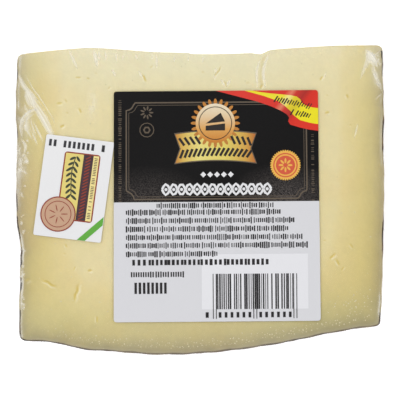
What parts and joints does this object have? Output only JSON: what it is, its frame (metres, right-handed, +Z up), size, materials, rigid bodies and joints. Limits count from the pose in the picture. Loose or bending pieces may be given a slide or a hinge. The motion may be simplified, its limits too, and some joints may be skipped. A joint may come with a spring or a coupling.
{
  "type": "cheese wedge",
  "caption": "Wedge of hard sheep's milk cheese with a plaited rind, shrink-wrapped in clear film, with a large front label and a small seal sticker.",
  "frame": {"origin": "under the middle of the wedge's box, on the lower cut face that it lies on", "axes": "+X along the height of the wheel, +Y from the rim to the tip, +Z up through the labelled cut face"},
  "size_m": [0.111, 0.0928, 0.0274],
  "materials": {
    "cheese_paste": "ivory-yellow pressed cheese paste with small eyes and slits, under glossy film",
    "cheese_rind": "dark brown waxed rind with a plaited imprint",
    "clear_film": "clear glossy shrink film with creases",
    "label_black": "glossy printed paper, black field over pale grey field",
    "label_white": "white semi-gloss sticker",
    "print_gold": "gold printing ink",
    "print_colour": "red, yellow and green printing inks",
    "print_dark": "black printing ink"
  },
  "bodies": {
    "root": {"wrapped_wedge": "cheese_paste", "front_label": "label_black", "small_label": "label_white"}
  },
  "joints": []
}
